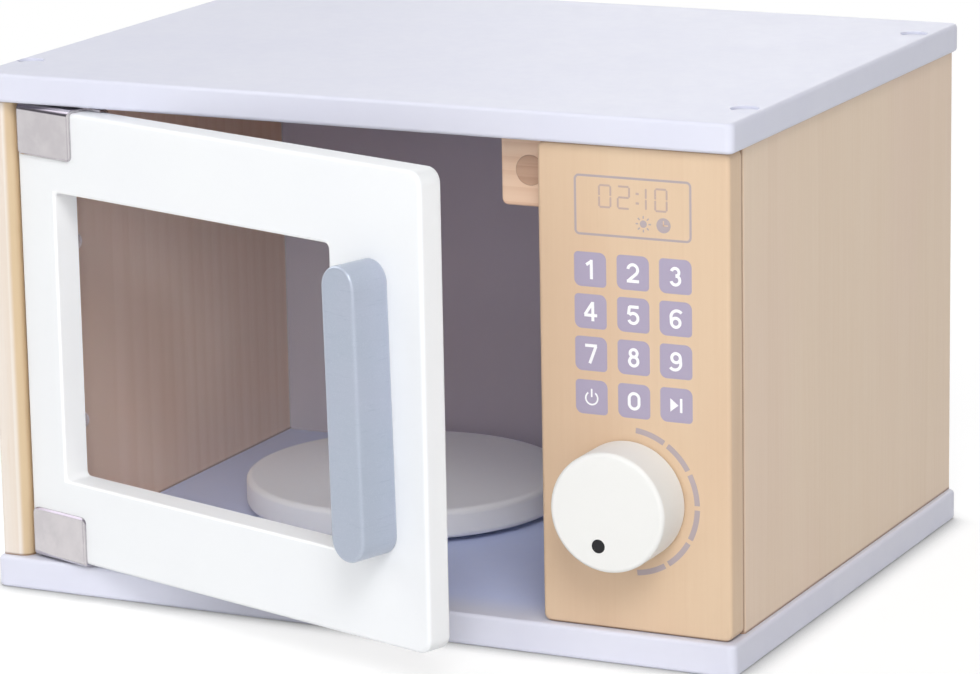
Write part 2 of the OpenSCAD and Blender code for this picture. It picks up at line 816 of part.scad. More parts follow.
module turntable() {
    color(white_paint) translate([plate_x, plate_y, floor_z + plate_gap]) difference() {
        soft_disc(plate_r, plate_t, plate_low_edge, plate_high_edge);
        translate([0, 0, -past])
            cylinder(r = table_pin_r + run, h = table_pin_up - plate_gap + past + spare, $fn = plain);
    }
}

top_panel();
bottom_panel();
left_side();
right_side();
back_panel();
control_panel();
stop_block();
catch_magnet();
magnet_plug();
top_screws();
top_caps();
bottom_screws();
panel_dowels();
hinge_bushes();
knob_bush();
turntable_pin();
turntable_washer();
door_frame();
door_window();
window_screws();
hinge_clip_top();
hinge_clip_bottom();
hinge_pins();
clip_screws();
door_handle();
handle_screws();
catch_plate();
catch_screw();
knob();
knob_dot();
knob_screw();
knob_washer_front();
knob_washer_back();
turntable();
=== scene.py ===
import math
import bmesh
import bpy
from mathutils import Matrix, Vector


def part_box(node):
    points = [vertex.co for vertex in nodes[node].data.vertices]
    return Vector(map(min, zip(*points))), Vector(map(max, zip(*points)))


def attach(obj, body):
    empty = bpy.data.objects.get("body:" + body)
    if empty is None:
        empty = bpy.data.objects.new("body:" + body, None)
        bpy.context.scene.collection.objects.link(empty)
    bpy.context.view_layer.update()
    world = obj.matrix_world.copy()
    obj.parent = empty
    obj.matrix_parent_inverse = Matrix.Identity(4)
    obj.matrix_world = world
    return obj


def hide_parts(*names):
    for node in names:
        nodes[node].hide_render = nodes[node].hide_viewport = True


# Wooden toy oven: looks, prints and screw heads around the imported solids. Sizes are in millimetres.
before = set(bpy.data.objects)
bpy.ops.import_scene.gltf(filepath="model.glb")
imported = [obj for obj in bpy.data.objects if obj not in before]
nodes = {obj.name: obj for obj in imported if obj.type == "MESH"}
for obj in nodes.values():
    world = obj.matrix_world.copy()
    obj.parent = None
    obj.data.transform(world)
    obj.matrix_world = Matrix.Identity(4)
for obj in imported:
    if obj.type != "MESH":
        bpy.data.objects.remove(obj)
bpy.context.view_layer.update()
mm = 0.001
doorAjar = 17.3      # degrees that the door stands open in the photograph
print("Loaded", len(nodes), "solids")

# Camera at the photograph's viewing angle
view = {
    "place": (719.087, -1466.555, 471.904),
    "turn": 26.022,      # degrees to the left of straight back
    "drop": 13.333,      # degrees below level
    "roll": -1.055,
    "lens": 161.457, "sensor": 36,
    "near": 50, "far": 40000,
}


def newObject(name, data):
    made = bpy.data.objects.new(name, data)
    bpy.context.scene.collection.objects.link(made)
    return made


def makeCamera():
    data = bpy.data.cameras.new("photoCamera")
    data.sensor_fit = "HORIZONTAL"
    data.sensor_width = view["sensor"]
    data.lens = view["lens"]
    data.clip_start = view["near"] * mm
    data.clip_end = view["far"] * mm
    camera = newObject("photoCamera", data)
    turn = Matrix.Rotation(math.radians(view["turn"]), 4, "Z")
    drop = Matrix.Rotation(math.radians(90 - view["drop"]), 4, "X")
    roll = Matrix.Rotation(math.radians(view["roll"]), 4, "Z")
    camera.matrix_world = Matrix.Translation(Vector(view["place"]) * mm) @ turn @ drop @ roll
    bpy.context.scene.camera = camera


makeCamera()
bpy.context.scene.view_settings.view_transform = "Standard"
print("Camera placed")

# Soft studio light from wide lamps; powers are in watts
studio = {
    "mainLight": dict(place=(1000, -1750, 1900), size=1100, power=34),
    "lowLight": dict(place=(700, -2400, 700), size=1100, power=12.5),
    "windowLight": dict(place=(-700, -2200, 1250), size=1300, power=8.2),
    "sideLight": dict(place=(2300, -1000, 800), size=1700, power=8),
    "topLight": dict(place=(-2100, 200, 1900), size=2000, power=31),
    "leftLight": dict(place=(-2200, -700, 1300), size=1700, power=4),
    "backLight": dict(place=(-300, 2300, 900), size=1700, power=14),
}
room = {
    "aim": (0, 0, 90),
    "skyLevel": 0.15,
    "dark": 0.97,           # how much darker the room behind the camera is in polished metal
    "darkTop": (0.75, 0.45), "darkFoot": (-0.02, 0.06), "darkFront": (0.1, -0.2),     # where that fades in
    "floorShade": 0.88,     # how pale the floor is for the light that bounces off it
    "floorLift": 0.77,      # plain white in what the camera sees of the floor
    "floorLit": 0.31,       # lit share in what the camera sees of the floor
    "floorSize": 9000, "floorDrop": 0.05,
    "fadeFrom": 350, "fadeTo": 1500,      # between these distances the floor turns into plain white
    "contact": 14,          # reach of the painted contact shadow, a dark line where the oven stands on the floor
    "contactOpen": (0.35, 0.95), "contactLeast": 0.25,
}


def addSoftbox(name, place, size, power):
    data = bpy.data.lights.new(name, "AREA")
    data.shape = "SQUARE"
    data.size = size * mm
    data.energy = power
    lamp = newObject(name, data)
    lamp.location = Vector(place) * mm
    towards = (Vector(room["aim"]) - Vector(place)) * mm
    lamp.rotation_euler = towards.to_track_quat("-Z", "Y").to_euler()


def feed(tree, socket, source):
    # Sets a socket from another socket or from a plain value
    if isinstance(source, bpy.types.NodeSocket):
        tree.links.new(source, socket)
    else:
        socket.default_value = source


def calc(tree, operation, a, b=0.0, c=0.0, clamp=False):
    node = tree.nodes.new("ShaderNodeMath")
    node.operation = operation
    node.use_clamp = clamp
    for socket, source in zip(node.inputs, (a, b, c)):
        feed(tree, socket, source)
    return node.outputs[0]


def between(tree, value, low, high, toLow=0.0, toHigh=1.0):
    node = tree.nodes.new("ShaderNodeMapRange")
    node.interpolation_type = "SMOOTHSTEP"
    feed(tree, node.inputs["Value"], value)
    for label, number in (("From Min", low), ("From Max", high), ("To Min", toLow), ("To Max", toHigh)):
        feed(tree, node.inputs[label], number)
    return node.outputs["Result"]


def product(tree, *masks):
    result = masks[0]
    for mask in masks[1:]:
        result = calc(tree, "MULTIPLY", result, mask)
    return result


def axesOf(tree, vector):
    # Sockets for the vector's X, Y and Z
    node = tree.nodes.new("ShaderNodeSeparateXYZ")
    feed(tree, node.inputs[0], vector)
    return node.outputs


def seenDirectly(tree):
    # 1 for camera, glossy and transmission rays
    path = tree.nodes.new("ShaderNodeLightPath")
    seen = calc(tree, "MAXIMUM", path.outputs["Is Camera Ray"], path.outputs["Is Transmission Ray"])
    return calc(tree, "MAXIMUM", seen, path.outputs["Is Glossy Ray"]), path


def makeWorld():
    world = bpy.data.worlds.new("paleRoom")
    bpy.context.scene.world = world
    world.use_nodes = True
    tree = world.node_tree
    tree.nodes.clear()
    out = tree.nodes.new("ShaderNodeOutputWorld")
    sky = tree.nodes.new("ShaderNodeBackground")
    sky.inputs["Color"].default_value = (1, 1, 1, 1)
    seen, path = seenDirectly(tree)
    where = tree.nodes.new("ShaderNodeTexCoord")
    way = axesOf(tree, where.outputs["Generated"])
    up = way["Z"]
    low = product(tree, between(tree, up, *room["darkTop"]), between(tree, up, *room["darkFoot"]))
    dark = product(tree, low, between(tree, way["Y"], *room["darkFront"]), path.outputs["Is Glossy Ray"])
    level = product(tree, between(tree, seen, 0, 1, room["skyLevel"], 1),
                    between(tree, dark, 0, 1, 1, 1 - room["dark"]))
    feed(tree, sky.inputs["Strength"], level)
    feed(tree, out.inputs["Surface"], sky.outputs["Background"])


def makeFloor():
    bm = bmesh.new()
    bmesh.ops.create_grid(bm, x_segments=1, y_segments=1, size=room["floorSize"] / 2 * mm)
    bmesh.ops.translate(bm, verts=bm.verts, vec=(0, 0, -room["floorDrop"] * mm))
    mesh = bpy.data.meshes.new("paleFloor")
    bm.to_mesh(mesh)
    bm.free()
    floor = newObject("paleFloor", mesh)
    material = bpy.data.materials.new("paleFloor")
    material.use_nodes = True
    tree = material.node_tree
    tree.nodes.clear()
    out = tree.nodes.new("ShaderNodeOutputMaterial")
    seen = seenDirectly(tree)[0]
    where = tree.nodes.new("ShaderNodeTexCoord")
    away = tree.nodes.new("ShaderNodeVectorMath")
    away.operation = "LENGTH"
    feed(tree, away.inputs[0], where.outputs["Object"])
    far = between(tree, away.outputs["Value"], room["fadeFrom"] * mm, room["fadeTo"] * mm)
    lit = between(tree, far, 0, 1, room["floorLit"], 0)
    shade = between(tree, seen, 0, 1, room["floorShade"], lit)
    tint = tree.nodes.new("ShaderNodeCombineColor")
    for socket in tint.inputs[:3]:
        feed(tree, socket, shade)
    matt = tree.nodes.new("ShaderNodeBsdfDiffuse")
    feed(tree, matt.inputs["Color"], tint.outputs[0])
    near = tree.nodes.new("ShaderNodeAmbientOcclusion")
    near.inputs["Distance"].default_value = room["contact"] * mm
    white = tree.nodes.new("ShaderNodeEmission")
    # painted contact shadow: less of the white glow where the oven stands close
    lift = product(tree, seen, between(tree, far, 0, 1, room["floorLift"], 1),
                   between(tree, near.outputs["AO"], *room["contactOpen"], room["contactLeast"], 1))
    feed(tree, white.inputs["Strength"], lift)
    both = tree.nodes.new("ShaderNodeAddShader")
    feed(tree, both.inputs[0], matt.outputs["BSDF"])
    feed(tree, both.inputs[1], white.outputs["Emission"])
    feed(tree, out.inputs["Surface"], both.outputs["Shader"])
    mesh.materials.append(material)


for lampName, lampIs in studio.items():
    addSoftbox(lampName, **lampIs)
makeWorld()
makeFloor()
print("Studio ready")


# Node groups that several finishes share
def newGroup(name, inputs, outputs):
    tree = bpy.data.node_groups.new(name, "ShaderNodeTree")
    kinds = {"colour": "NodeSocketColor", "number": "NodeSocketFloat", "vector": "NodeSocketVector"}
    for label, kind in inputs:
        tree.interface.new_socket(name=label, in_out="INPUT", socket_type=kinds[kind])
    for label, kind in outputs:
        tree.interface.new_socket(name=label, in_out="OUTPUT", socket_type=kinds[kind])
    return tree, tree.nodes.new("NodeGroupInput"), tree.nodes.new("NodeGroupOutput")


def stretched(tree, vector, scale):
    node = tree.nodes.new("ShaderNodeMapping")
    node.inputs["Scale"].default_value = scale
    feed(tree, node.inputs["Vector"], vector)
    return node.outputs["Vector"]


def noise(tree, vector, scale, detail=2.0, roughness=0.5):
    node = tree.nodes.new("ShaderNodeTexNoise")
    feed(tree, node.inputs["Vector"], vector)
    node.inputs["Scale"].default_value = scale
    node.inputs["Detail"].default_value = detail
    node.inputs["Roughness"].default_value = roughness
    return node.outputs["Fac"]


def rgb(red, green, blue):
    return (red, green, blue, 1)


def mixColour(tree, factor, a, b, blend="MIX"):
    node = tree.nodes.new("ShaderNodeMix")
    node.data_type = "RGBA"
    node.blend_type = blend
    feed(tree, node.inputs[0], factor)
    feed(tree, node.inputs[6], a)
    feed(tree, node.inputs[7], b)
    return node.outputs[2]


grain = {
    "slow": 0.045,       # how much slower the figure changes along the grain than across it
    "distortion": 3.2, "detail": 2.5, "detailScale": 0.9, "late": (0.35, 1.0), "lateShare": 0.42,
    "streakScale": 95, "streak": (0.34, 0.68), "streakShare": 0.38,
    "fibreScale": 1100, "fibreSlow": 0.016, "fibre": 0.035,
    "fleckScale": 900, "fleckSlow": 0.05, "fleck": (0.62, 0.74), "fleckShare": 0.22, "fleckDepth": -0.5,
    "patchScale": 16, "patchSlow": 0.3, "patch": (0.35, 0.65),
    "rough": (0.42, 0.56),
}


def makeWoodGroup():
    # Grain runs along the vector's Z: growth rings round a far pith, streaks, fibres, small flecks and
    # wide, soft patches of a warmer tone
    tree, given, made = newGroup(
        "woodGrain",
        [("Vector", "vector"), ("Pale", "colour"), ("Brown", "colour"), ("Warm", "colour"),
         ("Ring", "number"), ("Figure", "number")],
        [("Color", "colour"), ("Roughness", "number"), ("Height", "number")])
    vector = given.outputs["Vector"]
    along = stretched(tree, vector, (1, 1, grain["slow"]))
    rings = tree.nodes.new("ShaderNodeTexWave")
    rings.wave_type = "RINGS"
    rings.rings_direction = "Z"
    rings.wave_profile = "SAW"
    feed(tree, rings.inputs["Vector"], along)
    feed(tree, rings.inputs["Scale"], given.outputs["Ring"])
    feed(tree, rings.inputs["Distortion"], grain["distortion"])
    feed(tree, rings.inputs["Detail"], grain["detail"])
    feed(tree, rings.inputs["Detail Scale"], grain["detailScale"])
    late = between(tree, rings.outputs["Fac"], *grain["late"])
    streaky = noise(tree, along, grain["streakScale"], detail=4, roughness=0.62)
    streak = between(tree, streaky, *grain["streak"])
    fine = stretched(tree, vector, (1, 1, grain["fibreSlow"]))
    fibre = noise(tree, fine, grain["fibreScale"], detail=3, roughness=0.6)
    flecked = stretched(tree, vector, (1, 1, grain["fleckSlow"]))
    fleck = between(tree, noise(tree, flecked, grain["fleckScale"], detail=1.5), *grain["fleck"])
    patched = stretched(tree, vector, (1, 1, grain["patchSlow"]))
    patch = between(tree, noise(tree, patched, grain["patchScale"]), *grain["patch"])
    brown = calc(tree, "MULTIPLY", streak, grain["streakShare"])
    brown = calc(tree, "MULTIPLY_ADD", late, grain["lateShare"], brown)
    brown = calc(tree, "MULTIPLY_ADD", fleck, grain["fleckShare"], brown)
    brown = calc(tree, "MULTIPLY", brown, given.outputs["Figure"], clamp=True)
    lines = between(tree, fibre, 0.3, 0.7, -grain["fibre"], grain["fibre"])
    brown = calc(tree, "ADD", brown, lines, clamp=True)
    ground = mixColour(tree, patch, given.outputs["Pale"], given.outputs["Warm"])
    feed(tree, made.inputs["Color"], mixColour(tree, brown, ground, given.outputs["Brown"]))
    feed(tree, made.inputs["Roughness"], between(tree, fibre, 0.25, 0.75, *grain["rough"]))
    feed(tree, made.inputs["Height"], calc(tree, "MULTIPLY_ADD", fleck, grain["fleckDepth"], fibre))
    return tree


def past(tree, value, edge, way, soft):
    # 1 on the plus side (way 1) or the minus side (way -1) of an edge, in millimetres
    return between(tree, value, edge * mm, (edge + way * soft) * mm)


cavity = {
    "front": -112, "deep": -86,       # the painted shade and bounce tint inside the oven fades in over this depth
    "edges": (("X", -139.3, 1), ("X", 139.3, -1), ("Z", 11.2, 1), ("Z", 186.7, -1), ("Y", 98, -1)),
    "soft": 0.5,
}


def makeCavityShadeGroup():
    # 1 inside the oven, where shade and light bounced between the oven's walls are painted into the finish
    tree, given, made = newGroup("insideCavity", [("Vector", "vector")], [("Mask", "number")])
    place = axesOf(tree, given.outputs["Vector"])
    masks = [between(tree, place["Y"], cavity["front"] * mm, cavity["deep"] * mm)]
    for axis, edge, way in cavity["edges"]:
        masks.append(past(tree, place[axis], edge, way, cavity["soft"]))
    feed(tree, made.inputs["Mask"], product(tree, *masks))
    return tree


# Painted shade in the gaps along the joints of the wood
jointShade = {"low": 11.8, "high": 186.2, "panelBack": -97.8, "nowhere": -1000, "from": 1.1, "full": 0.25,
        "tone": rgb(0.36, 0.27, 0.22), "share": 0.9}


def makeSeamShadeGroup():
    # 1 close to the joints with the boards above, below and in front, where painted shade fills the gaps
    tree, given, made = newGroup(
        "seamShade", [("Vector", "vector"), ("Low", "number"), ("High", "number"), ("Front", "number")],
        [("Mask", "number")])
    place = axesOf(tree, given.outputs["Vector"])
    over = calc(tree, "SUBTRACT", place["Z"], given.outputs["Low"])
    under = calc(tree, "SUBTRACT", given.outputs["High"], place["Z"])
    behind = calc(tree, "SUBTRACT", place["Y"], given.outputs["Front"])
    near = calc(tree, "MINIMUM", calc(tree, "MINIMUM", over, under), behind)
    feed(tree, made.inputs["Mask"], between(tree, near, jointShade["from"] * mm, jointShade["full"] * mm))
    return tree


spray = {"cloudScale": 17, "peelScale": 1500, "lapScale": 210, "lap": 0.6, "rough": (0.46, 0.58)}


def makePaintGroup():
    # Sprayed paint: faint clouds in the colour, a fine orange peel, and paler edges, partly rubbed paint
    # and partly a painted highlight
    tree, given, made = newGroup(
        "sprayedPaint",
        [("Vector", "vector"), ("Colour", "colour"), ("Cloud", "colour"), ("Edge", "colour"),
         ("WearAndSheen", "number")],
        [("Color", "colour"), ("Roughness", "number"), ("Height", "number")])
    vector = given.outputs["Vector"]
    cloud = between(tree, noise(tree, vector, spray["cloudScale"], detail=4, roughness=0.6), 0.3, 0.7)
    peel = noise(tree, vector, spray["peelScale"])
    lap = noise(tree, vector, spray["lapScale"], detail=3, roughness=0.55)
    colour = mixColour(tree, cloud, given.outputs["Colour"], given.outputs["Cloud"])
    # paler edges: rubbed paint and a painted highlight
    colour = mixColour(tree, given.outputs["WearAndSheen"], colour, given.outputs["Edge"])
    feed(tree, made.inputs["Color"], colour)
    feed(tree, made.inputs["Roughness"], between(tree, lap, 0.25, 0.75, *spray["rough"]))
    feed(tree, made.inputs["Height"], calc(tree, "MULTIPLY_ADD", lap, spray["lap"], peel))
    return tree


wearAndSheen = {"turned": (0.01, 0.12), "patchScale": 90, "patch": (0.3, 0.65), "least": 0.35, "samples": 4}


def makeEdgeWearSheenGroup():
    # 1 along convex edges, broken up by noise: where corners are handled most, and where edge highlights
    #                                           and edge shade are painted
    tree, given, made = newGroup(
        "edgeWearAndSheen", [("Vector", "vector"), ("Width", "number")], [("Mask", "number")])
    soft = tree.nodes.new("ShaderNodeBevel")
    soft.samples = wearAndSheen["samples"]
    feed(tree, soft.inputs["Radius"], given.outputs["Width"])
    plain = tree.nodes.new("ShaderNodeNewGeometry")
    dot = tree.nodes.new("ShaderNodeVectorMath")
    dot.operation = "DOT_PRODUCT"
    feed(tree, dot.inputs[0], soft.outputs["Normal"])
    feed(tree, dot.inputs[1], plain.outputs["Normal"])
    turned = calc(tree, "SUBTRACT", 1.0, dot.outputs["Value"])
    patchy = noise(tree, given.outputs["Vector"], wearAndSheen["patchScale"], detail=3, roughness=0.6)
    broken = between(tree, patchy, *wearAndSheen["patch"], wearAndSheen["least"], 1.0)
    feed(tree, made.inputs["Mask"], product(tree, between(tree, turned, *wearAndSheen["turned"]), broken))
    return tree


woodGroup = makeWoodGroup()
cavityShadeGroup = makeCavityShadeGroup()
seamShadeGroup = makeSeamShadeGroup()
paintGroup = makePaintGroup()
edgeWearSheenGroup = makeEdgeWearSheenGroup()
print("Shared effects ready")


# Finishes
def newFinish(name, **constants):
    material = bpy.data.materials.new(name)
    material.use_nodes = True
    shader = material.node_tree.nodes["Principled BSDF"]
    for label, value in constants.items():
        shader.inputs[label.replace("_", " ")].default_value = value
    return material, material.node_tree, shader


def placed(tree, group, inputs):
    node = tree.nodes.new("ShaderNodeGroup")
    node.node_tree = group
    for label, source in inputs.items():
        feed(tree, node.inputs[label], source)
    return node


def objectVector(tree, turn=(0, 0, 0), shift=(0, 0, 0)):
    where = tree.nodes.new("ShaderNodeTexCoord")
    node = tree.nodes.new("ShaderNodeMapping")
    node.vector_type = "POINT"
    node.inputs["Location"].default_value = [s * mm for s in shift]
    node.inputs["Rotation"].default_value = [math.radians(t) for t in turn]
    feed(tree, node.inputs["Vector"], where.outputs["Object"])
    return node.outputs["Vector"]


def addBump(tree, shader, height, strength, distance):
    bump = tree.nodes.new("ShaderNodeBump")
    bump.inputs["Strength"].default_value = strength
    bump.inputs["Distance"].default_value = distance * mm
    feed(tree, bump.inputs["Height"], height)
    feed(tree, shader.inputs["Normal"], bump.outputs["Normal"])


noTint = rgb(1, 1, 1)
woods = {
    # pale, warm and brown colours, painted shade tint inside the oven, ring scale, strength of the figure,
    # turn that brings the grain to Z, and how far off the pith lies
    "leftWood": dict(pale=rgb(0.84, 0.78, 0.74), warm=rgb(0.81, 0.74, 0.67), brown=rgb(0.72, 0.57, 0.43),
                     inside=rgb(1.05, 0.775, 0.60), ring=46, figure=0.55, shift=(190, 60, 20)),
    "panelWood": dict(pale=rgb(0.72, 0.54, 0.37), warm=rgb(0.68, 0.49, 0.335), brown=rgb(0.60, 0.39, 0.24),
                      ring=20, figure=0.2, shift=(-20, 260, 0)),
    "rightWood": dict(pale=rgb(0.79, 0.63, 0.48), warm=rgb(0.78, 0.61, 0.475),
                      brown=rgb(0.67, 0.49, 0.345), ring=30, figure=0.24, shift=(180, -30, 60)),
    "stopWood": dict(pale=rgb(0.87, 0.655, 0.495), warm=rgb(0.84, 0.60, 0.44), brown=rgb(0.68, 0.42, 0.28),
                     ring=60, figure=0.7, turn=(0, 90, 0), shift=(120, 70, 0)),
    "plugWood": dict(pale=rgb(0.62, 0.41, 0.30), warm=rgb(0.58, 0.38, 0.27), brown=rgb(0.44, 0.26, 0.17),
                     ring=90, figure=0.8, turn=(0, 90, 0), shift=(60, 90, 0)),
    "dowelWood": dict(pale=rgb(0.80, 0.64, 0.44), warm=rgb(0.78, 0.61, 0.42), brown=rgb(0.60, 0.42, 0.25),
                      ring=90, figure=0.7, shift=(30, 40, 0)),
}


# Darker, warmer tone down the left side's round inner edge: partly the wood's own honey tone, partly
# painted shade from the gap beside the door
honeyAndShade = {"from": -142.4, "full": -140.6, "front": -106, "deep": -100, "tone": rgb(0.80, 0.67, 0.47)}


def makeWood(name):
    is_ = woods[name]
    material, tree, shader = newFinish(name, Coat_Weight=0.12, Coat_Roughness=0.35)
    vector = objectVector(tree, is_.get("turn", (0, 0, 0)), is_["shift"])
    wood = placed(tree, woodGroup, {"Vector": vector, "Pale": is_["pale"], "Brown": is_["brown"],
                                    "Warm": is_["warm"], "Ring": is_["ring"], "Figure": is_["figure"]})
    place = objectVector(tree)
    front = jointShade["panelBack"] if name == "rightWood" else jointShade["nowhere"]
    jointShadeMask = placed(tree, seamShadeGroup, {"Vector": place, "Low": jointShade["low"] * mm, "High": jointShade["high"] * mm,
                                     "Front": front * mm})
    inside = placed(tree, cavityShadeGroup, {"Vector": place})
    tint = is_.get("inside", noTint)
    # painted shade: inside the oven the wood is tinted darker and redder
    colour = mixColour(tree, inside.outputs["Mask"], wood.outputs["Color"], tint, "MULTIPLY")
    # painted shade darkens the wood along its joints
    share = calc(tree, "MULTIPLY", jointShadeMask.outputs["Mask"], jointShade["share"])
    colour = mixColour(tree, share, colour, jointShade["tone"], "MULTIPLY")
    if name == "leftWood":
        axes = axesOf(tree, place)
        # painted shade beside the door over the edge's own honey tone
        rim = product(tree, between(tree, axes["X"], honeyAndShade["from"] * mm, honeyAndShade["full"] * mm),
                      between(tree, axes["Y"], honeyAndShade["deep"] * mm, honeyAndShade["front"] * mm))
        colour = mixColour(tree, rim, colour, honeyAndShade["tone"], "MULTIPLY")
    feed(tree, shader.inputs["Base Color"], colour)
    feed(tree, shader.inputs["Roughness"], wood.outputs["Roughness"])
    addBump(tree, shader, wood.outputs["Height"], strength=0.22, distance=0.15)
    return material


paints = {
    # colour, its clouds, paler edges (rubbed paint and painted highlight), painted shade and bounce tint
    # inside the oven, width of the paler edges, depth of the peel
    "lavenderPaint": dict(colour=rgb(0.72, 0.73, 0.83), cloud=rgb(0.70, 0.71, 0.82),
                          edge=rgb(0.78, 0.785, 0.88), inside=rgb(0.89, 0.97, 1.17), width=1.2, peel=0.12),
    "whitePaint": dict(colour=rgb(0.87, 0.885, 0.90), cloud=rgb(0.86, 0.875, 0.895),
                       edge=rgb(0.89, 0.90, 0.91), width=1.2, peel=0.10),
    "knobPaint": dict(colour=rgb(0.83, 0.83, 0.81), cloud=rgb(0.82, 0.82, 0.80),
                      edge=rgb(0.87, 0.87, 0.855), width=1.2, peel=0.08),
    "platePaint": dict(colour=rgb(0.96, 0.955, 0.965), cloud=rgb(0.94, 0.935, 0.95),
                       edge=rgb(0.97, 0.965, 0.97), width=1.2, peel=0.16),
    "backPaint": dict(colour=rgb(0.56, 0.50, 0.56), cloud=rgb(0.54, 0.485, 0.545),
                      edge=rgb(0.76, 0.75, 0.78), width=1.2, peel=0.2),
    "blackPaint": dict(colour=rgb(0.010, 0.010, 0.012), cloud=rgb(0.014, 0.014, 0.016),
                       edge=rgb(0.03, 0.03, 0.032), width=0.3, peel=0.1),
}


# The door's window with the door shut; painted light makes the white paint paler on its sloping sides
revealLight = {
    "edges": (("X", -117.2, 1), ("X", 25.5, -1), ("Z", 44.2, 1), ("Z", 153.8, -1)),
    "reach": 0.9, "soft": 0.4, "tone": rgb(0.985, 0.99, 0.99),
}
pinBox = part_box("hinge_pins")
pivot = (pinBox[0] + pinBox[1]) / 2
shutShift = pivot - Matrix.Rotation(math.radians(doorAjar), 3, "Z") @ pivot


def revealLightMask(tree):
    # 1 inside the door's window
    place = axesOf(tree, objectVector(tree, (0, 0, doorAjar), shutShift / mm))
    return product(tree, *[past(tree, place[axis], edge - way * revealLight["reach"], way, revealLight["soft"])
                           for axis, edge, way in revealLight["edges"]])


def makePaint(name):
    is_ = paints[name]
    material, tree, shader = newFinish(name, Specular_IOR_Level=0.3, Coat_Weight=0.04, Coat_Roughness=0.35)
    vector = objectVector(tree)
    edgeWearSheen = placed(tree, edgeWearSheenGroup, {"Vector": vector, "Width": is_["width"] * mm})
    paint = placed(tree, paintGroup, {"Vector": vector, "Colour": is_["colour"], "Cloud": is_["cloud"],
                                      "Edge": is_["edge"], "WearAndSheen": edgeWearSheen.outputs["Mask"]})
    inside = placed(tree, cavityShadeGroup, {"Vector": vector})
    tint = is_.get("inside", noTint)
    # painted shade and bounce light: inside the oven the lavender is tinted darker and bluer
    colour = mixColour(tree, inside.outputs["Mask"], paint.outputs["Color"], tint, "MULTIPLY")
    if name == "whitePaint":
        # painted light on the window's sloping sides
        colour = mixColour(tree, revealLightMask(tree), colour, revealLight["tone"])
    feed(tree, shader.inputs["Base Color"], colour)
    feed(tree, shader.inputs["Roughness"], paint.outputs["Roughness"])
    addBump(tree, shader, paint.outputs["Height"], strength=is_["peel"], distance=0.12)
    return material


handlePaint = {
    "colour": rgb(0.40, 0.45, 0.54), "cloud": rgb(0.43, 0.46, 0.56), "edge": rgb(0.74, 0.80, 0.88),
    "flake": rgb(0.66, 0.71, 0.79), "scratch": rgb(0.30, 0.35, 0.45), "metallic": 0.35, "width": 1.3,
    "flakeScale": 4200, "flakes": (0.55, 0.75, 0, 0.35),
    "lineScale": 1400, "lineSlow": 0.06, "lines": (0.60, 0.70, 0, 0.3), "rough": (0.32, 0.44),
}


def makeHandlePaint():
    # Silvery blue-grey: metal flakes in the paint, faint sanding lines across, and bright edges, partly
    # rubbed paint and partly a painted highlight
    is_ = handlePaint
    material, tree, shader = newFinish(
        "handlePaint", Metallic=is_["metallic"], Coat_Weight=0.25, Coat_Roughness=0.2)
    vector = objectVector(tree, turn=(0, 0, doorAjar))
    edgeWearSheen = placed(tree, edgeWearSheenGroup, {"Vector": vector, "Width": is_["width"] * mm})
    paint = placed(tree, paintGroup, {"Vector": vector, "Colour": is_["colour"], "Cloud": is_["cloud"],
                                      "Edge": is_["edge"], "WearAndSheen": edgeWearSheen.outputs["Mask"]})
    across = stretched(tree, vector, (is_["lineSlow"], is_["lineSlow"], 1))
    lines = noise(tree, across, is_["lineScale"], detail=3, roughness=0.7)
    flakes = noise(tree, vector, is_["flakeScale"], detail=1)
    colour = mixColour(tree, between(tree, flakes, *is_["flakes"]), paint.outputs["Color"], is_["flake"])
    colour = mixColour(tree, between(tree, lines, *is_["lines"]), colour, is_["scratch"])
    feed(tree, shader.inputs["Base Color"], colour)
    feed(tree, shader.inputs["Roughness"], between(tree, lines, 0.3, 0.7, *is_["rough"]))
    height = calc(tree, "MULTIPLY_ADD", lines, 0.7, paint.outputs["Height"])
    addBump(tree, shader, height, strength=0.2, distance=0.12)
    return material


metals = {
    # colour, its smudges, roughness from low to high, depth of the scratches, colour of the painted dark
    # reflection and shade on edges and bends
    "nickel": dict(colour=rgb(0.63, 0.60, 0.615), smudge=rgb(0.58, 0.55, 0.57), low=0.08, high=0.17,
                   scratch=0.06, rim=rgb(0.17, 0.15, 0.19)),
    "zinc": dict(colour=rgb(0.72, 0.70, 0.71), smudge=rgb(0.62, 0.60, 0.62), low=0.24, high=0.40,
                 scratch=0.10),
    # pinkish pale tone: painted reflection of the warm wood inside the oven
    "warmReflectionZinc": dict(colour=rgb(0.90, 0.79, 0.81), smudge=rgb(0.78, 0.67, 0.69), low=0.3, high=0.5,
                     scratch=0.10, metallic=0.3),
    "magnet": dict(colour=rgb(0.30, 0.30, 0.32), smudge=rgb(0.22, 0.22, 0.24), low=0.2, high=0.35,
                   scratch=0.08),
}
polish = {
    "cloudScale": 120, "lineScale": 2600, "lineSlow": 0.05, "width": 0.8,
    "up": (0.03, 0.16), "flat": (0.9, 0.7),      # slopes that count as an upper bend
    "share": 0.85,
}


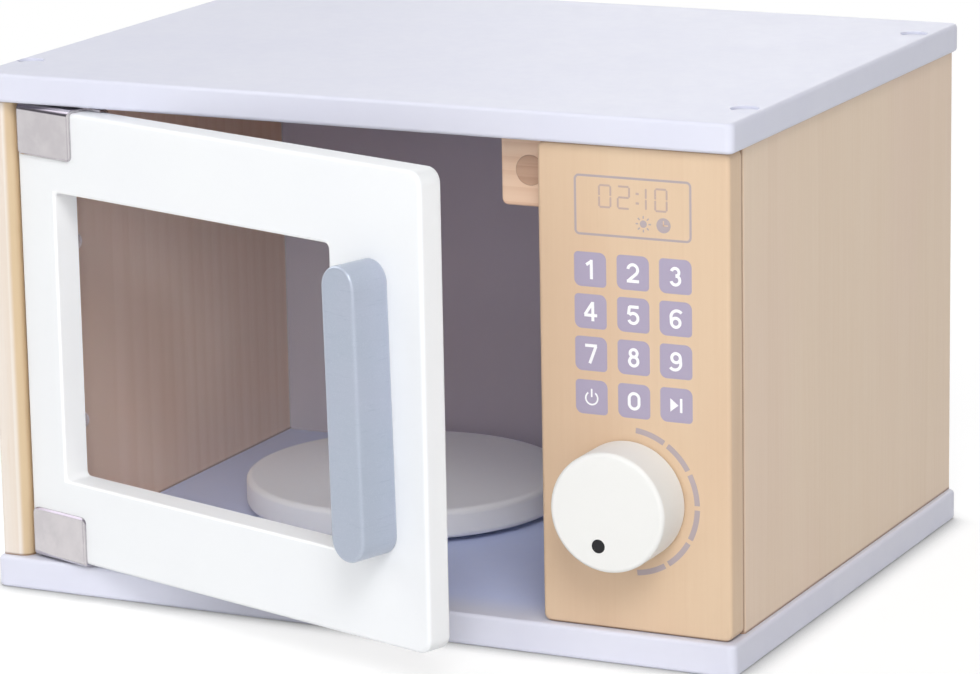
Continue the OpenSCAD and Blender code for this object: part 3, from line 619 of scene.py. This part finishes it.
def makeMetal(name, colour, smudge, low, high, scratch, rim=None, metallic=1.0):
    # Smudges in the gloss, fine straight scratches and, with a rim colour, a painted dark reflection on
    # upper bends and painted shade along edges
    material, tree, shader = newFinish(name, Metallic=metallic)
    vector = objectVector(tree, turn=(0, 0, doorAjar))
    cloud = noise(tree, vector, polish["cloudScale"], detail=3, roughness=0.6)
    along = stretched(tree, vector, (polish["lineSlow"], 1, 1))
    lines = noise(tree, along, polish["lineScale"], roughness=0.6)
    tone = mixColour(tree, between(tree, cloud, 0.3, 0.7), colour, smudge)
    if rim:
        edgeWearSheen = placed(tree, edgeWearSheenGroup, {"Vector": vector, "Width": polish["width"] * mm})
        way = tree.nodes.new("ShaderNodeNewGeometry")
        slope = axesOf(tree, way.outputs["Normal"])["Z"]
        bend = product(tree, between(tree, slope, *polish["up"]), between(tree, slope, *polish["flat"]))
        darkened = calc(tree, "MAXIMUM", bend, edgeWearSheen.outputs["Mask"])
        # painted reflection of the dark room on the fold, painted shade along the edges
        tone = mixColour(tree, calc(tree, "MULTIPLY", darkened, polish["share"]), tone, rim)
    feed(tree, shader.inputs["Base Color"], tone)
    gloss = calc(tree, "MULTIPLY_ADD", lines, scratch, between(tree, cloud, 0.3, 0.7, low, high))
    feed(tree, shader.inputs["Roughness"], gloss)
    addBump(tree, shader, lines, strength=0.05, distance=0.05)
    return material


nylon = {"pale": rgb(0.80, 0.80, 0.76), "darkened": rgb(0.72, 0.72, 0.68), "rough": (0.35, 0.5),
         "cloudScale": 60, "peelScale": 2000}


def makeNylon():
    material, tree, shader = newFinish("nylon", Subsurface_Weight=0.1, Subsurface_Scale=0.002)
    vector = objectVector(tree)
    cloud = noise(tree, vector, nylon["cloudScale"], detail=3, roughness=0.6)
    feed(tree, shader.inputs["Base Color"], mixColour(tree, cloud, nylon["pale"], nylon["darkened"]))
    feed(tree, shader.inputs["Roughness"], between(tree, cloud, 0.3, 0.7, *nylon["rough"]))
    addBump(tree, shader, noise(tree, vector, nylon["peelScale"]), strength=0.1, distance=0.05)
    return material


sheet = {"cool": rgb(0.86, 0.86, 0.92), "warm": rgb(0.92, 0.90, 0.92), "rough": (0.03, 0.07),
         "alpha": (0.03, 0.05), "filmScale": 22}


def makeClearSheet():
    # Clear acrylic: almost nothing of it shows but its gloss and a faint, uneven film
    material, tree, shader = newFinish("clearSheet", IOR=1.49, Coat_Weight=0.3, Coat_Roughness=0.04)
    film = noise(tree, objectVector(tree), sheet["filmScale"], detail=4, roughness=0.6)
    feed(tree, shader.inputs["Base Color"], mixColour(tree, film, sheet["cool"], sheet["warm"]))
    feed(tree, shader.inputs["Roughness"], between(tree, film, 0.3, 0.7, *sheet["rough"]))
    feed(tree, shader.inputs["Alpha"], between(tree, film, 0.25, 0.75, *sheet["alpha"]))
    return material


inks = {
    # colour of the ink, and where it has worn thin
    "lilacInk": dict(colour=rgb(0.395, 0.35, 0.475), thin=rgb(0.47, 0.405, 0.49)),
    "displayInk": dict(colour=rgb(0.43, 0.36, 0.385), thin=rgb(0.53, 0.45, 0.43)),
    "paleInk": dict(colour=rgb(0.50, 0.37, 0.34), thin=rgb(0.62, 0.48, 0.40)),
    "whiteInk": dict(colour=rgb(0.93, 0.93, 0.94), thin=rgb(0.88, 0.87, 0.91)),
}


printed = {
    "pinScale": 1800, "pin": (0.60, 0.78), "pinShare": 0.4,
    "patchScale": 130, "patchShare": 0.25, "rough": (0.4, 0.52),
}


def makeInk(name, colour, thin):
    # Pad-printed ink: fine pinholes let a little of the ground through
    material, tree, shader = newFinish(name, Specular_IOR_Level=0.4)
    vector = objectVector(tree)
    pinhole = between(tree, noise(tree, vector, printed["pinScale"], roughness=0.6), *printed["pin"])
    patchy = noise(tree, vector, printed["patchScale"], detail=3, roughness=0.6)
    worn = calc(tree, "MULTIPLY", pinhole, printed["pinShare"])
    worn = calc(tree, "MULTIPLY_ADD", patchy, printed["patchShare"], worn, clamp=True)
    feed(tree, shader.inputs["Base Color"], mixColour(tree, worn, colour, thin))
    feed(tree, shader.inputs["Roughness"], between(tree, patchy, 0.3, 0.7, *printed["rough"]))
    addBump(tree, shader, pinhole, strength=0.08, distance=0.03)
    return material


finish = {name: makeWood(name) for name in woods}
finish.update({name: makePaint(name) for name in paints})
finish.update({name: makeMetal(name, **is_) for name, is_ in metals.items()})
finish.update({name: makeInk(name, **is_) for name, is_ in inks.items()})
finish.update({"handlePaint": makeHandlePaint(), "nylon": makeNylon(), "clearSheet": makeClearSheet()})

solidFinish = {
    "top_panel": "lavenderPaint", "bottom_panel": "lavenderPaint", "top_caps": "lavenderPaint",
    "left_side": "leftWood", "right_side": "rightWood", "control_panel": "panelWood",
    "back_panel": "backPaint", "stop_block": "stopWood", "magnet_plug": "plugWood",
    "catch_magnet": "magnet", "panel_dowels": "dowelWood", "top_screws": "zinc", "bottom_screws": "zinc",
    "hinge_bushes": "nylon", "knob_bush": "nylon", "turntable_pin": "zinc", "turntable_washer": "nylon",
    "door_frame": "whitePaint", "door_window": "clearSheet", "window_screws": "zinc",
    "hinge_clip_top": "nickel", "hinge_clip_bottom": "nickel", "hinge_pins": "zinc", "clip_screws": "zinc",
    "door_handle": "handlePaint", "handle_screws": "zinc", "catch_plate": "zinc", "catch_screw": "zinc",
    "knob": "knobPaint", "knob_dot": "blackPaint", "knob_screw": "zinc", "knob_washer_front": "nylon",
    "knob_washer_back": "zinc", "turntable": "platePaint",
}
for nodeName, finishName in solidFinish.items():
    for materialSlot in nodes[nodeName].material_slots:
        materialSlot.material = finish[finishName]
print("Finishes on", len(solidFinish), "solids")


# Pieces
def addPiece(bm, name, finishName, body):
    mesh = bpy.data.meshes.new(name)
    bm.to_mesh(mesh)
    bm.free()
    mesh.materials.append(finish[finishName])
    piece = newObject(name, mesh)
    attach(piece, body)
    return piece


def takeIn(bm, other, move):
    # Adds a copy of another bmesh, moved
    mesh = bpy.data.meshes.new("part")
    other.to_mesh(mesh)
    mesh.transform(move)
    bm.from_mesh(mesh)
    bpy.data.meshes.remove(mesh)


# Prints on the control panel, drawn flat with X to the right and Y up, then stood on the panel's face
ink = {"thick": 0.05}
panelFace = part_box("control_panel")[0].y


def bar(bm, x, y, width, height, corners=0.0, cornerSegments=4):
    # Flat bar with rounded corners: one radius, or four from the lower left anticlockwise
    start = Matrix.Translation((x, y, 0)) @ Matrix.Diagonal((width / 2, height / 2, 1, 1))
    made = bmesh.ops.create_grid(bm, x_segments=1, y_segments=1, size=1, matrix=start)
    radii = corners if isinstance(corners, tuple) else (corners,) * 4
    order = sorted(made["verts"], key=lambda v: math.atan2(v.co.y - y, v.co.x - x))
    for vert, radius in zip(order, radii):
        if radius > 0:
            bmesh.ops.bevel(bm, geom=[vert], offset=radius, offset_type="OFFSET", affect="VERTICES",
                            segments=cornerSegments, profile=0.5, material=-1)


def line(bm, x1, y1, x2, y2, width):
    # Straight stroke from one point to another
    long = math.hypot(x2 - x1, y2 - y1)
    place = Matrix.Translation(((x1 + x2) / 2, (y1 + y2) / 2, 0))
    turn = Matrix.Rotation(math.atan2(y2 - y1, x2 - x1), 4, "Z")
    bmesh.ops.create_grid(bm, x_segments=1, y_segments=1, size=1,
                          matrix=place @ turn @ Matrix.Diagonal((long / 2, width / 2, 1, 1)))


def disc(bm, x, y, radius, segments=48):
    bmesh.ops.create_circle(bm, cap_ends=True, segments=segments, radius=radius,
                            matrix=Matrix.Translation((x, y, 0)))


def arc(bm, x, y, radius, width, start, end, steps=12):
    # Flat ring piece from one angle to another, in degrees
    low = bm.verts.new((x + (radius - width / 2) * math.cos(math.radians(start)),
                        y + (radius - width / 2) * math.sin(math.radians(start)), 0))
    high = bm.verts.new((x + (radius + width / 2) * math.cos(math.radians(start)),
                         y + (radius + width / 2) * math.sin(math.radians(start)), 0))
    edge = bm.edges.new((low, high))
    full = abs(end - start) >= 360
    bmesh.ops.spin(bm, geom=[low, high, edge], cent=(x, y, 0), axis=(0, 0, 1), steps=steps,
                   angle=math.radians(end - start), use_merge=full)


def addPrint(bm, name, finishName, lift=0.0):
    # Gives flat ink its thickness and stands it on the panel
    bmesh.ops.scale(bm, verts=bm.verts, vec=(mm, mm, mm))
    bmesh.ops.remove_doubles(bm, verts=bm.verts, dist=0.001 * mm)
    for face in bm.faces:
        if face.normal.z < 0:
            face.normal_flip()
    raised = bmesh.ops.extrude_face_region(bm, geom=bm.faces[:])
    top = [v for v in raised["geom"] if isinstance(v, bmesh.types.BMVert)]
    bmesh.ops.translate(bm, verts=top, vec=(0, 0, ink["thick"] * mm))
    bmesh.ops.recalc_face_normals(bm, faces=bm.faces)
    stand = Matrix.Translation((0, panelFace - lift * mm, 0)) @ Matrix.Rotation(math.radians(90), 4, "X")
    bmesh.ops.transform(bm, matrix=stand, verts=bm.verts)
    addPiece(bm, name, finishName, "cabinet")


display = {
    "left": 90.0, "right": 134.3, "low": 153.75, "high": 175.3, "corner": 1.9, "line": 0.8,
    "time": "0210", "digitLeft": (99.2, 106.3, 112.6, 120.4), "digitLow": 163.8, "digitW": 5.0,
    "digitH": 8.4, "segment": 0.7, "colonX": 114.0, "colonW": 1.2, "colonH": 0.8, "colonAt": (0.3, 0.7),
    "sun": (116.2, 159.2), "sunR": 1.3, "rayIn": 1.9, "rayOut": 2.9, "rayW": 0.5, "rays": 8,
    "clock": (123.8, 159.2), "clockR": 2.65, "hand": 0.45, "handLong": 1.9, "handOut": 0.75,
    "tip": 0.1,       # corner of small bars
}


def makeDisplay():
    is_ = display
    width = is_["right"] - is_["left"]
    height = is_["high"] - is_["low"]
    midX = (is_["left"] + is_["right"]) / 2
    midY = (is_["low"] + is_["high"]) / 2
    bm = bmesh.new()
    bar(bm, midX, midY, width, height, is_["corner"], 8)
    inner = bmesh.ops.inset_individual(bm, faces=bm.faces[:], thickness=is_["line"])
    middle = [f for f in bm.faces if f not in inner["faces"]]
    bmesh.ops.delete(bm, geom=middle, context="FACES")
    addPrint(bm, "displayFrame", "displayInk")


segmentsOf = {"0": "abcdef", "1": "bc", "2": "abged"}


def makeDigits():
    # Seven-segment figures: a top, b and c right, d bottom, e and f left, g middle
    is_ = display
    bm = bmesh.new()
    thick = is_["segment"]
    tall = is_["digitH"] - thick
    wide = is_["digitW"] - thick
    low = is_["digitLow"] + thick / 2
    tip = thick * 0.3
    for outer, figure in zip(is_["digitLeft"], is_["time"]):
        left = outer + thick / 2
        right = left + wide
        midX = (left + right) / 2
        where = {
            "a": (midX, low + tall), "g": (midX, low + tall / 2), "d": (midX, low),
            "f": (left, low + tall * 0.75), "b": (right, low + tall * 0.75),
            "e": (left, low + tall * 0.25), "c": (right, low + tall * 0.25),
        }
        for letter in segmentsOf[figure]:
            x, y = where[letter]
            if letter in "agd":
                bar(bm, x, y, wide - thick * 0.4, thick, tip, 1)
            else:
                bar(bm, x, y, thick, tall / 2 - thick * 0.5, tip, 1)
    for share in is_["colonAt"]:
        y = is_["digitLow"] + is_["digitH"] * share
        bar(bm, is_["colonX"], y, is_["colonW"], is_["colonH"], is_["tip"], 1)
    addPrint(bm, "displayTime", "paleInk")


def makeIcons():
    is_ = display
    x, y = is_["sun"]
    bm = bmesh.new()
    disc(bm, x, y, is_["sunR"], 32)
    ray = bmesh.new()
    bar(ray, (is_["rayIn"] + is_["rayOut"]) / 2, 0, is_["rayOut"] - is_["rayIn"], is_["rayW"], 0.15, 2)
    for count in range(is_["rays"]):
        turn = Matrix.Rotation(math.tau / is_["rays"] * count, 4, "Z")
        takeIn(bm, ray, Matrix.Translation((x, y, 0)) @ turn)
    ray.free()
    addPrint(bm, "displaySun", "displayInk")
    x, y = is_["clock"]
    bm = bmesh.new()
    disc(bm, x, y, is_["clockR"])
    addPrint(bm, "displayClock", "displayInk")
    bm = bmesh.new()
    bar(bm, x, y + is_["handOut"], is_["hand"], is_["handLong"], is_["tip"], 2)
    bar(bm, x + is_["handOut"], y, is_["handLong"], is_["hand"], is_["tip"], 2)
    addPrint(bm, "displayHands", "panelWood", ink["thick"])


# Figures as strokes, in shares of the figure's height from its middle: a line has its two ends, an arc
# its middle, radius and two angles
strokes = {
    "0": [("arc", 0, 0.13, 0.27, 0, 180), ("arc", 0, -0.13, 0.27, 180, 360),
          ("line", -0.27, 0.13, -0.27, -0.13), ("line", 0.27, 0.13, 0.27, -0.13)],
    "1": [("line", 0.07, 0.5, 0.07, -0.5), ("line", 0.07, 0.42, -0.21, 0.23)],
    "2": [("arc", 0, 0.16, 0.265, -38, 172), ("line", 0.22, -0.01, -0.26, -0.42),
          ("line", -0.33, -0.425, 0.34, -0.425)],
    "3": [("arc", -0.01, 0.22, 0.205, -85, 165), ("arc", 0, -0.185, 0.24, -165, 88)],
    "4": [("line", 0.12, 0.5, 0.12, -0.5), ("line", -0.35, -0.2, 0.36, -0.2),
          ("line", -0.31, -0.17, 0.1, 0.44)],
    "5": [("line", -0.22, 0.425, 0.3, 0.425), ("line", -0.2, 0.45, -0.26, 0.02),
          ("arc", 0, -0.165, 0.26, -160, 143)],
    "6": [("arc", 0, -0.19, 0.235, 0, 360), ("arc", 0.07, 0.1, 0.325, 40, 180),
          ("line", -0.255, 0.12, -0.235, -0.19)],
    "7": [("line", -0.33, 0.425, 0.33, 0.425), ("line", 0.27, 0.4, -0.08, -0.5)],
    "8": [("arc", 0, 0.23, 0.195, 0, 360), ("arc", 0, -0.19, 0.235, 0, 360)],
    "9": [("arc", 0, 0.19, 0.235, 0, 360), ("arc", -0.07, -0.1, 0.325, 220, 360),
          ("line", 0.255, -0.12, 0.235, 0.19)],
}
keypad = {
    "columns": (95.8, 112.05, 128.1), "rows": (141.6, 126.6, 111.4, 95.8),
    "width": 12.2, "height": 12.3, "corners": (2.6, 1.5, 2.6, 1.5),
    "labels": ("123", "456", "789"), "figure": 6.9, "stroke": 1.1, "over": 0.005,
    "power": 2.3, "powerLine": 0.6, "powerDrop": 0.4, "powerGap": 70, "stem": 3.0, "stemRise": 1.5,
    "playLeft": 2.3, "playH": 4.8, "playW": 3.1, "pauseRight": 1.8, "pauseW": 0.9, "pauseH": 5.1,
    "tip": 0.15,      # corner of small bars
}


def addFigure(bm, figure, x, y):
    # Strokes that cross lie a hair above each other
    tall = keypad["figure"]
    thick = keypad["stroke"]
    for level, (kind, *values) in enumerate(strokes[figure]):
        drawn = set(bm.verts)
        if kind == "arc":
            midX, midY, radius, start, end = values
            arc(bm, x + midX * tall, y + midY * tall, radius * tall, thick, start, end, 20)
        else:
            x1, y1, x2, y2 = [value * tall for value in values]
            line(bm, x + x1, y + y1, x + x2, y + y2, thick)
        added = [v for v in bm.verts if v not in drawn]
        bmesh.ops.translate(bm, verts=added, vec=(0, 0, level * keypad["over"]))


def makeKeypad():
    is_ = keypad
    bm = bmesh.new()
    for y in is_["rows"]:
        for x in is_["columns"]:
            bar(bm, x, y, is_["width"], is_["height"], is_["corners"], 8)
    addPrint(bm, "keyPads", "lilacInk")
    bm = bmesh.new()
    for y, labels in zip(is_["rows"], is_["labels"]):
        for x, label in zip(is_["columns"], labels):
            addFigure(bm, label, x, y)
    y = is_["rows"][3]
    powerX, zeroX, playX = is_["columns"]
    addFigure(bm, "0", zeroX, y)
    gap = is_["powerGap"] / 2
    arc(bm, powerX, y - is_["powerDrop"], is_["power"], is_["powerLine"], 90 + gap, 450 - gap, 24)
    bar(bm, powerX, y + is_["stemRise"], is_["powerLine"], is_["stem"], is_["tip"], 2)
    left = playX - is_["playLeft"]
    half = is_["playH"] / 2
    corners = ((left, y - half, 0), (left + is_["playW"], y, 0), (left, y + half, 0))
    bm.faces.new([bm.verts.new(corner) for corner in corners])
    bar(bm, playX + is_["pauseRight"], y, is_["pauseW"], is_["pauseH"], is_["tip"], 2)
    addPrint(bm, "keyMarks", "whiteInk", ink["thick"])


dial = {"place": (109.7, 59.5), "radius": 26.0, "line": 2.0, "dashes": 6, "from": 85.5, "to": -85.5,
        "gap": 3.6}


def makeDialMarks():
    is_ = dial
    x, y = is_["place"]
    bm = bmesh.new()
    step = (is_["to"] - is_["from"]) / is_["dashes"]
    for dash in range(is_["dashes"]):
        start = is_["from"] + dash * step
        end = start + step
        arc(bm, x, y, is_["radius"], is_["line"], start - is_["gap"] / 2, end + is_["gap"] / 2)
    addPrint(bm, "dialMarks", "displayInk")


makeDisplay()
makeDigits()
makeIcons()
makeKeypad()
makeDialMarks()
print("Prints on the control panel")


# Screws with cross recesses, one on each screw of a solid
def islands(nodeName):
    # The separate solids of a node, each as a list of points
    bm = bmesh.new()
    bm.from_mesh(nodes[nodeName].data)
    bmesh.ops.remove_doubles(bm, verts=bm.verts, dist=0.002 * mm)
    left = set(bm.verts)
    found = []
    while left:
        todo = [left.pop()]
        points = []
        while todo:
            vert = todo.pop()
            points.append(vert.co.copy())
            for edge in vert.link_edges:
                other = edge.other_vert(vert)
                if other in left:
                    left.remove(other)
                    todo.append(other)
        found.append(points)
    bm.free()
    return found


def revolve(points, steps=40):
    # Solid turned about Z from an outline of radius and height, both ends on the axis
    bm = bmesh.new()
    verts = [bm.verts.new((r * mm, 0, z * mm)) for r, z in points]
    edges = [bm.edges.new(pair) for pair in zip(verts, verts[1:])]
    bmesh.ops.spin(bm, geom=verts + edges, cent=(0, 0, 0), axis=(0, 0, 1), angle=math.tau, steps=steps,
                   use_merge=True)
    bmesh.ops.remove_doubles(bm, verts=bm.verts, dist=0.001 * mm)
    bmesh.ops.recalc_face_normals(bm, faces=bm.faces)
    return bm


recess = {"blade": 0.2, "over": 0.4, "taper": 0.35, "domeDepth": 0.62, "flatDepth": 0.7}


def crossCutter(size, top, depth):
    # Tapered cross that a screwdriver fits, from a little over the head's top
    bm = bmesh.new()
    tall = depth + recess["over"]
    for turn in (0, 90):
        made = bmesh.ops.create_cube(bm, size=1)["verts"]
        bmesh.ops.scale(bm, vec=(size * mm, size * recess["blade"] * mm, tall * mm), verts=made)
        bmesh.ops.translate(bm, vec=(0, 0, (top + recess["over"] - tall / 2) * mm), verts=made)
        for vert in made:
            if vert.co.z < (top - depth / 2) * mm:
                vert.co.x *= recess["taper"]
        bmesh.ops.rotate(bm, verts=made, cent=(0, 0, 0), matrix=Matrix.Rotation(math.radians(turn), 3, "Z"))
    return bm


def cutAway(bm, cutter):
    # What is left of bm without the cutter
    pair = []
    for name, shape in (("whole", bm), ("cutter", cutter)):
        mesh = bpy.data.meshes.new(name)
        shape.to_mesh(mesh)
        shape.free()
        pair.append(newObject(name, mesh))
    cut = pair[0].modifiers.new("cut", "BOOLEAN")
    cut.operation = "DIFFERENCE"
    cut.solver = "EXACT"
    cut.use_self = True
    cut.object = pair[1]
    bpy.context.view_layer.update()
    made = bpy.data.meshes.new_from_object(pair[0].evaluated_get(bpy.context.evaluated_depsgraph_get()))
    result = bmesh.new()
    result.from_mesh(made)
    for holder in pair:
        bpy.data.objects.remove(holder)
    bpy.data.meshes.remove(made)
    return result


def domeHead(radius, height, shank, length, cross):
    # Round head on the plane z = 0, with a cross recess, and its shank with a short point below
    sphere = (radius ** 2 + height ** 2) / (2 * height)
    steps = 10
    point = 1.2
    outline = [(0, -length), (shank * 0.3, -length), (shank, -length + point), (shank, 0),
               (radius * 0.97, 0)]
    widest = math.asin(radius / sphere)
    for k in range(steps + 1):
        angle = widest * (1 - k / steps)
        outline.append((sphere * math.sin(angle), height - sphere + sphere * math.cos(angle)))
    return cutAway(revolve(outline), crossCutter(cross, height, height * recess["domeDepth"]))


def flatHead(radius, height, shank, length, cross):
    # Countersunk head with its top on the plane z = 0, a cross recess, and its shank with a point
    point = 3
    edge = 0.15
    broken = 0.1
    outline = [(0, -length), (shank * 0.25, -length), (shank, -length + point), (shank, -height),
               (radius, -edge), (radius - broken, 0), (0, 0)]
    return cutAway(revolve(outline), crossCutter(cross, 0, height * recess["flatDepth"]))


def addScrews(nodeName, head, axis, top, body, finishName="zinc", turnStep=47):
    # Stands the head on every island of the node; top is the head's own highest point
    whole = bmesh.new()
    axis = Vector(axis).normalized()
    lay = axis.to_track_quat("Z", "X").to_matrix().to_4x4()
    for count, points in enumerate(sorted(islands(nodeName), key=lambda p: (p[0].z, p[0].x, p[0].y))):
        low = Vector((min(p[i] for p in points) for i in range(3)))
        high = Vector((max(p[i] for p in points) for i in range(3)))
        middle = (low + high) / 2
        reach = max(p.dot(axis) for p in points)
        place = middle + axis * (reach - middle.dot(axis) - top * mm)
        spin = Matrix.Rotation(math.radians(count * turnStep), 4, "Z")
        takeIn(whole, head, Matrix.Translation(place) @ lay @ spin)
    head.free()
    for face in whole.faces:
        face.smooth = True
    piece = addPiece(whole, nodeName.replace("_s", "S") + "Detailed", finishName, body)
    smooth = piece.modifiers.new("sharpEdges", "EDGE_SPLIT")
    smooth.split_angle = math.radians(35)
    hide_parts(nodeName)


doorTurn = Matrix.Rotation(math.radians(-doorAjar), 3, "Z")
intoRoom = doorTurn @ Vector((0, 1, 0))          # from the door's back towards the cavity
screws = {
    "pane": dict(radius=3.4, height=2.3, shank=1.4, length=5.5, cross=3.2),
    "clip": dict(radius=2.6, height=1.3, shank=1.4, length=6.2, cross=2.6),
    "handle": dict(radius=3.6, height=2.2, shank=1.8, length=24.0, cross=3.6),
    "board": dict(radius=4.0, height=2.4, shank=2.0, length=36.0, cross=4.0),
    "catch": dict(radius=2.2, height=1.0, shank=1.2, length=7.0, cross=2.2),
}
paneTop = screws["pane"]["height"]
clipTop = screws["clip"]["height"]
addScrews("window_screws", domeHead(**screws["pane"]), intoRoom, paneTop, "door",
          "warmReflectionZinc")
addScrews("clip_screws", domeHead(**screws["clip"]), intoRoom, clipTop, "door")
addScrews("handle_screws", flatHead(**screws["handle"]), intoRoom, 0, "door")
addScrews("catch_screw", flatHead(**screws["catch"]), intoRoom, 0, "door")
addScrews("bottom_screws", flatHead(**screws["board"]), (0, 0, -1), 0, "cabinet")
print("Screws with recesses")
